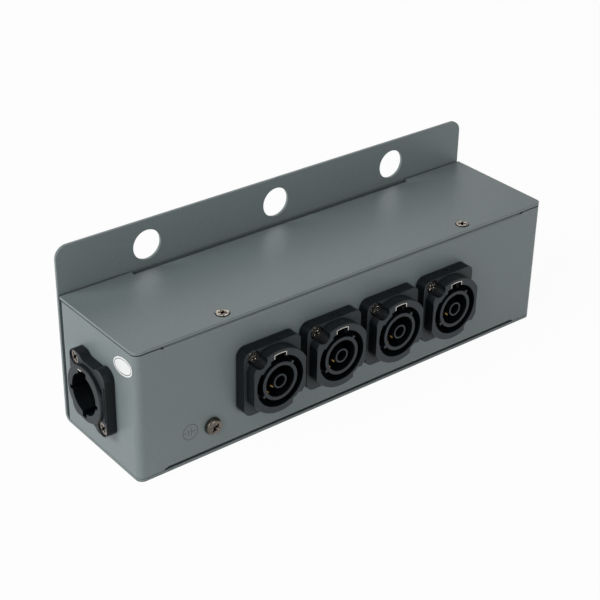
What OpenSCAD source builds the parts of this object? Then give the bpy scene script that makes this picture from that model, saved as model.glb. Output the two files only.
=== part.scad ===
// Power distribution box. A folded sheet-steel housing carries one input socket on its left end
// and four locking output sockets on its front, and hangs by the flange behind its cover.
// X runs from the left end to the right, Y from the front wall to the back, Z up.
// The origin is the centre of the housing's underside.

/* [Housing] */
// Length of the housing, from end wall to end wall
box_l = 217.8; // [206:0.2:260]
// Depth of the housing, from front wall to back plate
box_d = 56.8; // [54:0.2:80]
// Height of the housing up to its cover
box_h = 59.7; // [54:0.1:80]
// Thickness of the sheet steel
sheet_t = 1.2; // [0.9:0.1:1.6]
// Outer radius of the upright bends between the walls
corner_r = 3; // [2.4:0.1:4]
// Outer radius of the bend between base and back
base_bend_r = 3; // [2.4:0.1:4]
// Outer radius of the bends of the small flanges
bend_r = 2.2; // [1.9:0.1:2.8]
// Gap between the end walls and the cover
seam_gap = 0.5; // [0.1:0.1:0.8]
// Gap between the walls and the base
fine_gap = 0.2; // [0.1:0.05:0.4]

/* [Folded flanges] */
// Depth of the front wall's upper and lower flanges
front_flange_w = 11; // [9:0.5:14]
// Distance from the housing's end to the relief notch of the front flanges
notch_inset = 12.6; // [8:0.1:20]
// Width of a relief notch
notch_w = 1.5; // [1:0.1:2.5]
// Height of a relief notch in the front wall
notch_h = 1; // [0.8:0.1:2.4]
// Width of the end walls' rear flanges
rear_flange_w = 12; // [10:0.5:16]
// Drop of the cover's rear flange
cover_flange_h = 12; // [10:0.5:16]
// Distance from the housing's end to the cover's rear flange
cover_flange_inset = 34.4; // [20:0.2:50]
// Gap between the cover's rear flange and the back, which the spacers bridge
cover_flange_gap = 1.7; // [1.5:0.1:3]
// Gap between the cover's own rear edge and the back
cover_back_gap = 0.9; // [0.2:0.1:1.2]

/* [Hanging flange] */
// Height of the hanging flange above the cover
hang_h = 21.1; // [17:0.1:40]
// Radius of the hanging flange's upper corners
hang_corner_r = 5.5; // [2:0.5:9]
// Diameter of the three hanging holes
hang_hole_d = 13.5; // [8:0.5:14]
// Distance between the hanging holes
hang_pitch = 66.4; // [50:0.2:80]
// Height of the hanging holes above the cover
hang_hole_z = 9.6; // [8:0.1:10]

/* [Housing screws] */
// Thread diameter of the housing and socket screws
screw_d = 3; // [2.5:0.1:3]
// Diameter of a countersunk head
head_d = 5.6; // [5:0.1:5.6]
// Height of a countersunk head
head_h = 1.6; // [1.3:0.1:1.8]
// Length of the housing screws
housing_screw_l = 5; // [4.5:0.5:6]
// Distance between the two cover screws, and between the two base screws
cover_screw_pitch = 129.1; // [100:0.1:150]
// Height by which the cover screws' heads stand out of the cover
cover_screw_proud = 0.3; // [0:0.1:0.4]
// Distance of the cover and base screws from the front wall's face
cover_screw_in = 5.4; // [5:0.1:7]
// Distance of the back screws from the housing's ends
back_screw_inset = 7.5; // [6.5:0.1:8]
// Distance of the back screws from the housing's underside and top
back_screw_z = 14; // [10:0.5:20]
// Distance between the screws that hold the cover's rear flange
rear_screw_pitch = 100; // [60:1:120]
// Depth of the cover flange's screws below the cover's top
rear_screw_z = 7.5; // [7:0.1:8]
// Outer diameter of a clinch nut
clinch_d = 6.3; // [5.5:0.1:6.3]
// Thickness of a clinch nut
clinch_h = 1.5; // [1.2:0.1:2]

/* [Socket mounting] */
// Distance between neighbouring output sockets
socket_pitch = 31.9; // [31:0.1:33]
// Diameter of the panel hole behind each socket
panel_hole_d = 24; // [24:0.1:24.2]
// Sideways distance between a socket's two screws
socket_screw_x = 19; // [18.6:0.1:19.4]
// Upright distance between a socket's two screws
socket_screw_y = 24; // [23.6:0.1:24.4]
// Length of the socket screws
socket_screw_l = 10; // [9.5:0.5:12]
// Depth at which the socket screws' heads lie in their flange
socket_screw_drop = 0.5; // [0.1:0.1:0.7]
// Width across the flats of the socket nuts
nut_flats = 5.5; // [5:0.1:5.5]
// Height of the socket nuts
nut_h = 2.4; // [2:0.1:3]

/* [Output sockets] */
// Width of the square flange
out_flange_w = 28.4; // [26:0.2:29]
// Height of the square flange
out_flange_h = 30.4; // [30:0.2:32]
// Thickness of the square flange
out_flange_t = 5.4; // [4:0.1:6]
// Corner radius of the square flange
out_flange_r = 4; // [2:0.5:5]
// Radius of the collar round the mouth
collar_r = 14.8; // [14.5:0.1:15]
// Width of the collar across its flat sides
collar_w = 26; // [25:0.1:26.5]
// Height of the collar's rim above the panel
rim_z = 10.6; // [9.5:0.1:12]
// Rounding of the collar's outer edge
rim_round = 0.5; // [0.2:0.1:0.8]
// Radius of the scoops in the collar that clear the screw heads
scoop_r = 3; // [2.9:0.05:3.1]
// Radius of the mouth
mouth_r = 11.6; // [11.4:0.1:11.9]
// Height of the mouth's floor ledge above the panel
mouth_floor_z = 1.5; // [0.5:0.1:3]
// Radius of the throat behind the mouth
throat_r = 9.9; // [9.5:0.1:10]
// Width of the latch notch at the top of the mouth
latch_w = 6.2; // [5:0.1:7]
// Distance of the latch notch's top from the mouth's axis
latch_r = 13.4; // [12.8:0.1:13.6]
// Depth of the latch notch behind the rim
latch_depth = 3.6; // [2:0.1:5]
// Thickness of the steel latch plate
latch_t = 0.3; // [0.2:0.05:0.6]
// Outer radius of the insert's ring
ring_r = 8.6; // [8.4:0.05:9]
// Wall of the insert's ring
ring_wall = 1.5; // [1.2:0.05:1.8]
// Outer radius of the insert's centre tube
tube_r = 3.2; // [3:0.1:3.8]
// Wall of the insert's centre tube
tube_wall = 0.75; // [0.5:0.05:1.2]
// Radius of the barrel behind the panel
barrel_r = 11.7; // [11.5:0.1:11.8]
// Length of the output barrel behind the panel
out_barrel_l = 14; // [13:0.5:16]
// Depth of the shoulder that the insert seats on
out_shoulder_z = 8; // [6:0.5:9]
// Thickness of the insert's base
insert_base_t = 3; // [2:0.5:4]

/* [Input socket] */
// Distance by which the input socket sits lower than the output sockets
in_drop = 0.35; // [0:0.05:0.5]
// Width of the input flange
in_flange_w = 26; // [25.6:0.1:27]
// Height of the input flange
in_flange_h = 31; // [30:0.1:32]
// Thickness of the input flange
in_flange_t = 4.6; // [3.5:0.1:6]
// Step between the flange's screw ears and its middle
ear_step = 1.8; // [1.2:0.1:2.2]
// Step between the flange's screw ears and its corner blocks
block_drop = 0.7; // [0.3:0.1:0.8]
// Height of the ring's rim above the panel
in_rim_z = 6.6; // [6:0.1:9]
// Outer radius of the ring round the mouth
in_ring_r = 12.5; // [11.5:0.1:12.7]
// Radius of the mouth
in_mouth_r = 8.95; // [8.8:0.05:9.4]
// Length of the input barrel behind the panel
in_barrel_l = 20; // [19:0.5:23]
// Depth of the shoulder that the contact carrier seats on
in_shoulder_z = 12; // [10:0.5:13]
// Thickness of the contact carrier
carrier_t = 5; // [4:0.5:6]
// Reach of the contact blades in front of the carrier
in_blade_l = 10; // [6:0.5:10]

/* [Contacts and wiring] */
// Width of the rear tabs
tab_w = 4.8; // [4.4:0.1:5.2]
// Thickness of the rear tabs
tab_t = 0.8; // [0.5:0.1:1]
// Reach of the rear tabs behind what holds the contacts
tab_l = 8; // [7:0.5:9]
// Length of a push-on terminal
terminal_l = 11; // [10:0.5:13]
// Width of a push-on terminal
terminal_w = 6.2; // [5.8:0.1:6.4]
// Height of a push-on terminal
terminal_h = 2.6; // [2.4:0.1:2.9]
// Outer diameter of the insulated wires
wire_d = 2.2; // [1.6:0.1:2.3]
// Bend radius of the wires at their middle
wire_bend_r = 3; // [2.4:0.1:3.1]
// Distance between the two wires of one terminal
wire_pair = 2.5; // [2.4:0.1:2.8]
// Depth of the line and neutral runs behind the front wall's face
run_depth = 36.4; // [35:0.1:40]
// Height of the line run, and depth of the neutral run, from the sockets' middle
run_rise = 12; // [11.5:0.5:15]
// Depth of the earth run behind the front wall's face
earth_run_depth = 43; // [42.5:0.1:46]

/* [Earth screw] */
// Distance of the earth screw from the housing's left end
earth_x = 35; // [30:0.5:40]
// Height of the earth screw above the underside
earth_z = 13.3; // [12:0.1:14]
// Thread diameter of the earth screw
earth_d = 4; // [3.5:0.1:4]
// Diameter of the earth screw's head
earth_head_d = 7.8; // [6.8:0.1:8]
// Height of the earth screw's head
earth_head_h = 2.6; // [2:0.1:3]
// Length of the earth screw under its head
earth_screw_l = 12; // [10:0.5:14]

/* [Inspection label] */
// Width of the oval label
label_w = 13.4; // [8:0.2:14]
// Height of the oval label
label_h = 8; // [5:0.2:10]
// Thickness of the label
label_t = 0.15; // [0.1:0.05:0.2]
// Distance of the label's middle from the front wall's face
label_in = 8.4; // [7.6:0.1:9]
// Distance of the label's middle below the cover's top
label_down = 9.5; // [8:0.1:11]
// Turn of the label, its front end upwards
label_turn = 11; // [-20:1:20]

/* [Hidden] */

$fn = 64;
cut = 1;                    // how far a cutter runs past what it cuts
thread_gap = 0.05;          // radial gap between a screw and its nut
hole_gap = 0.2;             // radial gap between a screw and a plain hole
fit_gap = 0.1;              // gap round a contact, a tab or a seated insert
tubular_gap = 0.2;          // radial gap between an insert's base and its pocket
output_count = 4;
steel_colour = "#6e7979";
plastic_colour = "#26292c";
screw_colour = "#b8ada0";
brass_colour = "#c09a4a";

front_y = -box_d / 2;
back_y = box_d / 2;
left_x = -box_l / 2;
axis_z = box_h / 2;         // the output sockets sit at the walls' mid-height
input_z = axis_z - in_drop;
inner_back_y = back_y - sheet_t;
wall_low_z = sheet_t + fine_gap;
wall_top_z = box_h - sheet_t - seam_gap;
front_flange_l = box_l - 2 * notch_inset - notch_w;
cover_flange_l = box_l - 2 * cover_flange_inset;
hang_top_z = box_h + hang_h;
screw_hole_d = screw_d + 2 * hole_gap;
sink_d = head_d + 0.6;      // a countersink is a little wider than its head
fork_gap = 0.3;             // gap between a contact's fingers and the tube and ring beside them
fork_in = tube_r + fork_gap;
fork_out = ring_r - ring_wall - fork_gap;
finger_t = 0.5;
finger_w = 2;
contact_angles = [45, 135, 225, 315];
tip_drops = [6.5, 6.5, 2.4, 6.5];         // how far each contact's tips lie behind the rim
tab_x = 4.6;                // distance of the output tabs from both middle lines of their socket
keyed_corner_r = 3;         // the flange's upper right corner is the sharpest
insert_base_r = throat_r + 0.6;
pocket_r = insert_base_r + tubular_gap;
out_tab_z = out_shoulder_z + insert_base_t;
in_tab_z = in_shoulder_z + carrier_t;
blade_line = [3.5, tab_x + in_drop];      // the input blades, level with the output tabs
blade_neutral = [3.5, -tab_x + in_drop];
blade_earth = [-5, -2];
blades = [blade_line, blade_neutral, blade_earth];

// Places the children on the front wall, their +Z pointing out of it
module on_front(x, z = axis_z) translate([x, front_y, z]) rotate([90, 0, 0]) children();

// Places the children on the left end wall, their +Z pointing out of it and +X to the front
module on_left_end(y = 0, z = input_z) translate([left_x, y, z]) rotate([90, 0, -90]) children();

// Runs a profile drawn in Y and Z along X, with its middle at X = 0
module along_x(length) translate([-length / 2, 0, 0]) rotate([90, 0, 90]) linear_extrude(length) children();

function output_x(i) = (i - (output_count + 1) / 2) * socket_pitch;

// Rectangle about the origin with four round corners
module rounded_rect(w, h, r) {
  square([w - 2 * r, h], center = true);
  square([w, h - 2 * r], center = true);
  for (x = [-1, 1], y = [-1, 1]) translate([x * (w / 2 - r), y * (h / 2 - r)]) circle(r);
}

// Rectangle that reaches from the origin to -X and +Y, with a round corner at the origin
module corner_rect(w, h, r) {
  translate([-w, r]) square([w, h - r]);
  translate([-w, 0]) square([w - r, h]);
  translate([-r, r]) circle(r);
}

// What a round outer corner at the origin takes off, for a sheet that lies to -X and -Y
module corner_waste(r) {
  difference() {
    translate([-r, -r]) square(r + cut);
    translate([-r, -r]) circle(r);
  }
}

// The two places of a socket's screws
module at_socket_screws() {
  for (side = [-1, 1]) translate([side * -socket_screw_x / 2, side * socket_screw_y / 2]) children();
}

// The places of the screws that join cover and base to the front wall's flanges
module at_cover_screws() {
  for (side = [-1, 1]) translate([side * cover_screw_pitch / 2, front_y + cover_screw_in]) children();
}

// The places of the screws through the back plate, +Z pointing out of the back
module at_end_screws() {
  for (side = [-1, 1], z = [back_screw_z, box_h - back_screw_z])
    translate([side * (box_l / 2 - back_screw_inset), back_y, z]) rotate([-90, 0, 0]) children();
}
module at_rear_flange_screws() {
  for (side = [-1, 1])
    translate([side * rear_screw_pitch / 2, back_y, box_h - rear_screw_z]) rotate([-90, 0, 0]) children();
}

// Countersunk hole through a sheet whose outer face is at Z = 0 and faces +Z. The cone starts at the drop
module countersink(depth, drop = 0) {
  translate([0, 0, -depth - cut]) cylinder(d = screw_hole_d, h = depth + 2 * cut);
  translate([0, 0, -drop - sink_d / 2]) cylinder(d1 = 0, d2 = sink_d, h = sink_d / 2);
  translate([0, 0, -drop]) cylinder(d = sink_d, h = drop + cut);
}

// Cross recess of a screw's head whose top is at Z = 0, with a wider pit in its middle
module cross_recess(size, depth) {
  for (turn = [45, 135]) rotate(turn)
    translate([-size / 2, -size / 8, -depth]) cube([size, size / 4, depth + cut]);
  translate([0, 0, -depth]) cylinder(d = size / 2, h = depth + cut);
}

// Countersunk screw whose head stands proud of Z = 0, or lies below it if proud is negative
module countersunk_screw(length, proud = -0.1) {
  color(screw_colour) translate([0, 0, proud]) difference() {
    union() {
      translate([0, 0, -length]) cylinder(d = screw_d, h = length - head_h / 2);
      translate([0, 0, -head_h]) cylinder(d1 = screw_d - 0.2, d2 = head_d, h = head_h);
    }
    cross_recess(head_d * 0.62, head_h * 0.65);
  }
}

// Housing parts

// The walls seen from above: one strip, bent at its four corners and open at the back
module wall_plan() {
  wall_d = box_d - sheet_t;
  difference() {
    translate([0, -sheet_t / 2]) rounded_rect(box_l, wall_d, corner_r);
    translate([0, -sheet_t / 2]) rounded_rect(box_l - 2 * sheet_t, wall_d - 2 * sheet_t, corner_r - sheet_t);
    translate([-box_l / 2 + rear_flange_w, 0]) square([box_l - 2 * rear_flange_w, box_d]);
  }
}

// The front wall with its upper and lower flanges, seen from its end
module front_channel() {
  channel_h = box_h - 2 * sheet_t;
  intersection() {
    difference() {
      translate([front_y + front_flange_w, axis_z]) rounded_rect(2 * front_flange_w, channel_h, bend_r);
      translate([front_y + front_flange_w, axis_z])
        rounded_rect(2 * (front_flange_w - sheet_t), channel_h - 2 * sheet_t, bend_r - sheet_t);
    }
    translate([front_y, 0]) square([front_flange_w, box_h]);
  }
}

module wall_panel() {
  color(steel_colour) difference() {
    union() {
      difference() {
        translate([0, 0, wall_low_z]) linear_extrude(wall_top_z - wall_low_z) wall_plan();
        translate([-front_flange_l / 2, front_y - cut, 0]) cube([front_flange_l, 2 * cut + sheet_t, box_h]);
        for (side = [-1, 1], z = [sheet_t, box_h - sheet_t - notch_h])
          translate([side * (front_flange_l + notch_w) / 2 - notch_w / 2, front_y - cut, z])
            cube([notch_w, 2 * cut + sheet_t, notch_h]);
      }
      along_x(front_flange_l) front_channel();
    }
    for (i = [1:output_count]) on_front(output_x(i)) socket_cutout();
    on_left_end() socket_cutout();
    on_front(left_x + earth_x, earth_z) translate([0, 0, -sheet_t - cut])
      cylinder(d = earth_d + 2 * hole_gap, h = sheet_t + 2 * cut);
    at_cover_screws() cylinder(d = screw_hole_d, h = box_h);
    at_end_screws() translate([0, 0, -3 * sheet_t]) cylinder(d = screw_hole_d, h = 3 * sheet_t);
  }
}

// What a socket needs of its wall
module socket_cutout() {
  translate([0, 0, -sheet_t - cut]) {
    cylinder(d = panel_hole_d, h = sheet_t + 2 * cut);
    at_socket_screws() cylinder(d = screw_hole_d, h = sheet_t + 2 * cut);
  }
}

module back_base_panel() {
  color(steel_colour) difference() {
    along_x(box_l) translate([back_y, 0]) difference() {
      corner_rect(box_d, hang_top_z, base_bend_r);
      translate([-sheet_t, sheet_t]) corner_rect(box_d, hang_top_z, base_bend_r - sheet_t);
    }
    for (side = [0, 1]) mirror([side, 0, 0]) {
      translate([box_l / 2, front_y, -cut]) mirror([0, 1, 0])
        linear_extrude(sheet_t + 2 * cut) corner_waste(corner_r);
      translate([box_l / 2, back_y + cut, hang_top_z]) rotate([90, 0, 0])
        linear_extrude(sheet_t + 2 * cut) corner_waste(hang_corner_r);
    }
    for (i = [-1:1]) translate([i * hang_pitch, back_y - sheet_t - cut, box_h + hang_hole_z])
      rotate([-90, 0, 0]) cylinder(d = hang_hole_d, h = sheet_t + 2 * cut);
    at_cover_screws() rotate([180, 0, 0]) countersink(sheet_t);
    at_end_screws() countersink(sheet_t);
    at_rear_flange_screws() countersink(sheet_t);
  }
}

module top_cover() {
  plate_y = inner_back_y - cover_back_gap;
  flange_y = inner_back_y - cover_flange_gap;
  relief_y = flange_y - bend_r + 0.4;
  color(steel_colour) difference() {
    union() {
      difference() {
        translate([-box_l / 2, front_y, box_h - sheet_t]) cube([box_l, plate_y - front_y, sheet_t]);
        translate([-cover_flange_l / 2 - notch_w / 2, relief_y, box_h - sheet_t - cut])
          cube([cover_flange_l + notch_w, plate_y - relief_y + cut, sheet_t + 2 * cut]);
      }
      along_x(cover_flange_l) translate([flange_y, box_h]) mirror([0, 1]) difference() {
        corner_rect(3 * bend_r, cover_flange_h, bend_r);
        translate([-sheet_t, sheet_t]) corner_rect(3 * bend_r, cover_flange_h, bend_r - sheet_t);
      }
    }
    for (side = [0, 1]) mirror([side, 0, 0]) translate([box_l / 2, front_y, box_h - sheet_t - cut])
      mirror([0, 1, 0]) linear_extrude(sheet_t + 2 * cut) corner_waste(corner_r);
    at_cover_screws() translate([0, 0, box_h]) countersink(sheet_t);
    at_rear_flange_screws() translate([0, 0, -cover_flange_gap - 3 * sheet_t])
      cylinder(d = screw_hole_d, h = cover_flange_gap + 3 * sheet_t);
  }
}

module cover_screws() at_cover_screws() translate([0, 0, box_h])
  countersunk_screw(housing_screw_l, cover_screw_proud);

module base_screws() at_cover_screws() rotate([180, 0, 0]) countersunk_screw(housing_screw_l);

module back_screws() {
  at_end_screws() countersunk_screw(housing_screw_l);
  at_rear_flange_screws() countersunk_screw(housing_screw_l);
}

// Round threaded piece of some height that starts a depth below Z = 0
module threaded_round(depth, height) {
  color(screw_colour) translate([0, 0, -depth - height]) difference() {
    cylinder(d = clinch_d, h = height);
    translate([0, 0, -cut]) cylinder(d = screw_d + 2 * thread_gap, h = height + 2 * cut);
  }
}

// Nut that is pressed on the inner face of a flange
module clinch_nut() threaded_round(2 * sheet_t, clinch_h);

module clinch_nuts() {
  at_cover_screws() translate([0, 0, box_h]) clinch_nut();
  at_cover_screws() rotate([180, 0, 0]) clinch_nut();
  at_end_screws() clinch_nut();
  at_rear_flange_screws() threaded_round(sheet_t, cover_flange_gap);
}

// Oval label as points of the ellipse's own formula
module inspection_label() {
  steps = 72;
  color("white") on_left_end(front_y + label_in, box_h - label_down) rotate(label_turn) linear_extrude(label_t)
    polygon([for (a = [0:steps - 1]) [label_w / 2 * cos(a * 360 / steps), label_h / 2 * sin(a * 360 / steps)]]);
}

// Earth screw and what it clamps behind the front wall

earth_washer_t = 0.8;
ring_terminal_t = 0.8;
earth_nut_h = 3.2;

module on_earth_screw() on_front(left_x + earth_x, earth_z) children();

module earth_screw() {
  dome_r = 0.78 * earth_head_d;
  color(screw_colour) on_earth_screw() difference() {
    union() {
      rotate_extrude() intersection() {
        square([earth_head_d / 2, earth_head_h]);
        translate([0, earth_head_h - dome_r]) circle(dome_r);
      }
      translate([0, 0, -earth_screw_l]) cylinder(d = earth_d, h = earth_screw_l);
    }
    translate([0, 0, earth_head_h]) cross_recess(earth_head_d * 0.6, earth_head_h * 0.6);
  }
}

module earth_washer() {
  color(screw_colour) on_earth_screw() translate([0, 0, -sheet_t - earth_washer_t]) difference() {
    cylinder(d = 2.1 * earth_d, h = earth_washer_t);
    translate([0, 0, -cut]) cylinder(d = earth_d + 2 * hole_gap, h = earth_washer_t + 2 * cut);
  }
}

// Ring terminal: an eye on the screw and a crimped barrel that takes the earth lead from above
barrel_low = 5;
lead_clearance = 1.5;       // straight stretch of the earth lead above the barrel
barrel_high = input_z + blade_earth[1] - wire_bend_r - lead_clearance - earth_z;
barrel_tube_r = wire_d / 2 + 0.3;
eye_z = -sheet_t - earth_washer_t - ring_terminal_t;
barrel_depth = -eye_z - ring_terminal_t + barrel_tube_r;
module earth_ring_terminal() {
  color(brass_colour) on_earth_screw() difference() {
    union() {
      translate([0, 0, eye_z]) linear_extrude(ring_terminal_t) {
        circle(d = 2.1 * earth_d);
        translate([-1.4, 0]) square([2.8, barrel_low + 1]);
      }
      translate([0, barrel_low, -barrel_depth]) rotate([-90, 0, 0])
        cylinder(r = barrel_tube_r, h = barrel_high - barrel_low);
    }
    translate([0, 0, eye_z - cut]) cylinder(d = earth_d + 2 * hole_gap, h = ring_terminal_t + 2 * cut);
  }
}

module earth_nut() {
  color(screw_colour) on_earth_screw() translate([0, 0, eye_z - earth_nut_h]) difference() {
    cylinder(d = 1.75 * earth_d / cos(30), h = earth_nut_h, $fn = 6);
    translate([0, 0, -cut]) cylinder(d = earth_d + 2 * thread_gap, h = earth_nut_h + 2 * cut);
  }
}

// Sockets

// Screw holes through a socket's flange, countersunk at its front face
module flange_screw_holes(thickness) {
  at_socket_screws() translate([0, 0, thickness]) countersink(thickness, socket_screw_drop);
}

module socket_screws(thickness) {
  at_socket_screws() translate([0, 0, thickness]) countersunk_screw(socket_screw_l, -socket_screw_drop);
}

module socket_nuts_at() {
  color(screw_colour) at_socket_screws() translate([0, 0, -sheet_t - nut_h]) difference() {
    cylinder(d = nut_flats / cos(30), h = nut_h, $fn = 6);
    translate([0, 0, -cut]) cylinder(d = screw_d + 2 * thread_gap, h = nut_h + 2 * cut);
  }
}

module socket_nuts() {
  for (i = [1:output_count]) on_front(output_x(i)) socket_nuts_at();
  on_left_end() socket_nuts_at();
}

module output_screws() for (i = [1:output_count]) on_front(output_x(i)) socket_screws(out_flange_t);

module input_screws() on_left_end() socket_screws(in_flange_t);

// Solid of revolution from z_low to z_high whose upper outer edge is rounded
module round_topped(r, z_low, z_high, rounding) {
  rotate_extrude() {
    translate([0, z_low]) square([r - rounding, z_high - z_low]);
    translate([0, z_low]) square([r, z_high - z_low - rounding]);
    translate([r - rounding, z_high - rounding]) circle(rounding);
  }
}

// Stretch of a ring between two radii and two angles
module ring_sector(r_in, r_out, from, to) {
  reach = 2 * r_out;
  intersection() {
    difference() {
      circle(r_out);
      circle(r_in);
    }
    polygon([[0, 0], reach * [cos(from), sin(from)], reach * [cos(to), sin(to)]]);
  }
}

// The latch notch seen along the socket's axis, its far end an arc about that axis
module latch_outline(width, radius) {
  intersection() {
    translate([-width / 2, 0]) square([width, radius]);
    circle(radius);
  }
}

// Shallow moulding marks on the upper face of an output flange: a slot that runs out at the front,
// and a small window
mark_depth = 0.3;
slot_x = 3.6;
slot_w = 0.4;
slot_start = 1.9;
window_x = 0.5;
window_w = 2.8;
window_start = 0.9;
window_l = 1.8;
module upper_marks() {
  translate([slot_x - slot_w / 2, out_flange_h / 2 - mark_depth, slot_start])
    cube([slot_w, mark_depth + cut, out_flange_t]);
  translate([window_x - window_w / 2, out_flange_h / 2 - mark_depth, window_start])
    cube([window_w, mark_depth + cut, window_l]);
}

// Locking ramp on the mouth's wall: its inward reach, its foot's height and its distance behind the rim
ramp_depth = 1.6;
ramp_low_z = 4;
ramp_drop = 0.5;
ramp_from = 115;
ramp_to = 145;

// Outline of the output flange
module output_outline() {
  rounded_rect(out_flange_w, out_flange_h, out_flange_r);
  translate([out_flange_w / 2 - out_flange_r, out_flange_h / 2 - out_flange_r])
    rounded_rect(2 * out_flange_r, 2 * out_flange_r, keyed_corner_r);
}

// Moulded shell: square flange, scooped collar, stepped bore and rear barrel
module output_shell(i) {
  color(plastic_colour) on_front(output_x(i)) {
    difference() {
      union() {
        linear_extrude(out_flange_t) output_outline();
        intersection() {
          round_topped(collar_r, out_flange_t / 2, rim_z, rim_round);
          translate([-collar_w / 2, -collar_r, 0]) cube([collar_w, 2 * collar_r, rim_z]);
        }
        translate([0, 0, -out_barrel_l]) cylinder(r = barrel_r, h = out_barrel_l);
      }
      translate([0, 0, mouth_floor_z]) cylinder(r = mouth_r, h = rim_z);
      translate([0, 0, -out_shoulder_z - cut])
        cylinder(r = throat_r, h = out_shoulder_z + mouth_floor_z + 2 * cut);
      translate([0, 0, -out_barrel_l - cut]) cylinder(r = pocket_r, h = out_barrel_l - out_shoulder_z + cut);
      translate([0, 0, rim_z - latch_depth]) linear_extrude(latch_depth + cut) latch_outline(latch_w, latch_r);
      at_socket_screws() translate([0, 0, out_flange_t]) cylinder(r = scoop_r, h = rim_z);
      upper_marks();
      flange_screw_holes(out_flange_t);
    }
    translate([0, 0, ramp_low_z]) linear_extrude(rim_z - ramp_drop - ramp_low_z)
      ring_sector(mouth_r - ramp_depth, mouth_r + 0.1, ramp_from, ramp_to);
  }
}

// Steel strip that lines the latch notch, with its edge showing at the rim
module output_latch_plate(i) {
  color("silver") on_front(output_x(i)) translate([0, 0, rim_z - latch_depth]) linear_extrude(latch_depth)
    difference() {
      latch_outline(latch_w, latch_r);
      latch_outline(latch_w - 2 * latch_t, latch_r - latch_t);
      circle(mouth_r);
    }
}

key_w = 1.3;
key_reach = 1.1;

// Insert: base, ring with two keys, and centre tube
module output_insert(i) {
  ring_top = rim_z - fit_gap;
  color(plastic_colour) on_front(output_x(i)) difference() {
    union() {
      translate([0, 0, -out_tab_z]) cylinder(r = insert_base_r, h = insert_base_t);
      translate([0, 0, -out_tab_z]) cylinder(r = ring_r, h = out_tab_z + ring_top);
      for (turn = [48, 211]) rotate(turn) translate([ring_r - 0.3, -key_w / 2, ring_top - 4])
        cube([key_reach + 0.3, key_w, 4]);
    }
    difference() {
      translate([0, 0, -out_shoulder_z]) cylinder(r = ring_r - ring_wall, h = out_shoulder_z + rim_z + cut);
      translate([0, 0, -out_shoulder_z - cut]) cylinder(r = tube_r, h = out_shoulder_z + rim_z + 3 * cut);
    }
    translate([0, 0, -out_shoulder_z]) cylinder(r = tube_r - tube_wall, h = out_shoulder_z + rim_z + cut);
    for (turn = contact_angles) rotate(turn)
      translate([fork_in - fit_gap, -finger_w / 2 - fit_gap, -out_tab_z - cut])
        cube([fork_out - fork_in + 2 * fit_gap, finger_w + 2 * fit_gap, insert_base_t + 2 * cut]);
  }
}

// Four forks whose two fingers grip a plug's contact, each with a flat tab behind the base. One fork
// reaches further to the front than the others
module output_contacts(i) {
  finger_low = out_shoulder_z + 0.5;
  color(brass_colour) on_front(output_x(i)) {
    for (k = [0:len(contact_angles) - 1]) {
      turn = contact_angles[k];
      finger_high = rim_z - tip_drops[k];
      rotate(turn) {
        translate([fork_in, -finger_w / 2, -out_tab_z - tab_t])
          cube([fork_out - fork_in, finger_w, insert_base_t + tab_t]);
        for (r = [fork_in, fork_out - finger_t]) translate([r, -finger_w / 2, -finger_low])
          cube([finger_t, finger_w, finger_low + finger_high]);
      }
      translate([tab_x * sign(cos(turn)), tab_x * sign(sin(turn)), -out_tab_z - tab_l])
        translate([-tab_w / 2, -tab_t / 2, 0]) cube([tab_w, tab_t, tab_l]);
    }
  }
}

// Corner of the input flange, from its middle to +X and +Y. Its flat top lies a drop below the ears' and
// ends at flat_end, a double bend of length run leads down to the middle, and the corner itself is round
module input_corner(r, flat_end, run, drop = 0) {
  w = in_flange_w / 2;
  h = in_flange_h / 2 - drop;
  step = ear_step - drop;
  bend = (run * run + step * step) / (4 * step);
  square([w - r, h - step]);
  square([w, h - r]);
  translate([flat_end, 0]) square([w - r - flat_end, h]);
  translate([w - r, h - r]) circle(r);
  intersection() {
    translate([flat_end - run / 2, 0]) square([run / 2, h]);
    translate([flat_end, h - bend]) circle(bend);
  }
  difference() {
    translate([flat_end - run, h - step]) square([run / 2, step / 2]);
    translate([flat_end - run, h - step + bend]) circle(bend);
  }
}

// Outline of the input flange: two screw ears and two lower corner blocks stand above its middle
module input_outline() {
  ear_r = in_flange_h / 2 - socket_screw_y / 2;
  block_r = 4.5;
  for (side = [0, 1], end = [0, 1]) mirror([side, 0]) mirror([0, end]) {
    if (side == end) input_corner(block_r, 8, 2.4, block_drop);
    else input_corner(ear_r, 6.7, 4);
  }
}

// Keyways of the input mouth: middle angle, width and outer radius
keyways = [[93, 6, 10.6], [187, 1.8, 10.6], [352, 2, 10.2], [268, 3, 11]];
keyway_depth = 9;

// Small upright ridge beside the ring, on the flange's face
ridge_x = 11.7;
ridge_w = 0.9;
ridge_low = -7.6;
ridge_high = 8.3;

module input_shell() {
  color(plastic_colour) on_left_end() difference() {
    union() {
      linear_extrude(in_flange_t) input_outline();
      round_topped(in_ring_r, in_flange_t / 2, in_rim_z, rim_round);
      translate([0, 0, -in_barrel_l]) cylinder(r = barrel_r, h = in_barrel_l);
      translate([ridge_x, ridge_low, in_flange_t - 0.5]) cube([ridge_w, ridge_high - ridge_low, 1]);
    }
    translate([0, 0, -in_shoulder_z - cut]) cylinder(r = in_mouth_r, h = in_shoulder_z + in_rim_z + 2 * cut);
    translate([0, 0, -in_barrel_l - cut]) cylinder(r = pocket_r, h = in_barrel_l - in_shoulder_z + cut);
    for (key = keyways) rotate(key[0]) translate([0, -key[1] / 2, in_rim_z - keyway_depth])
      cube([key[2], key[1], keyway_depth + cut]);
    flange_screw_holes(in_flange_t);
  }
}

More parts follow.
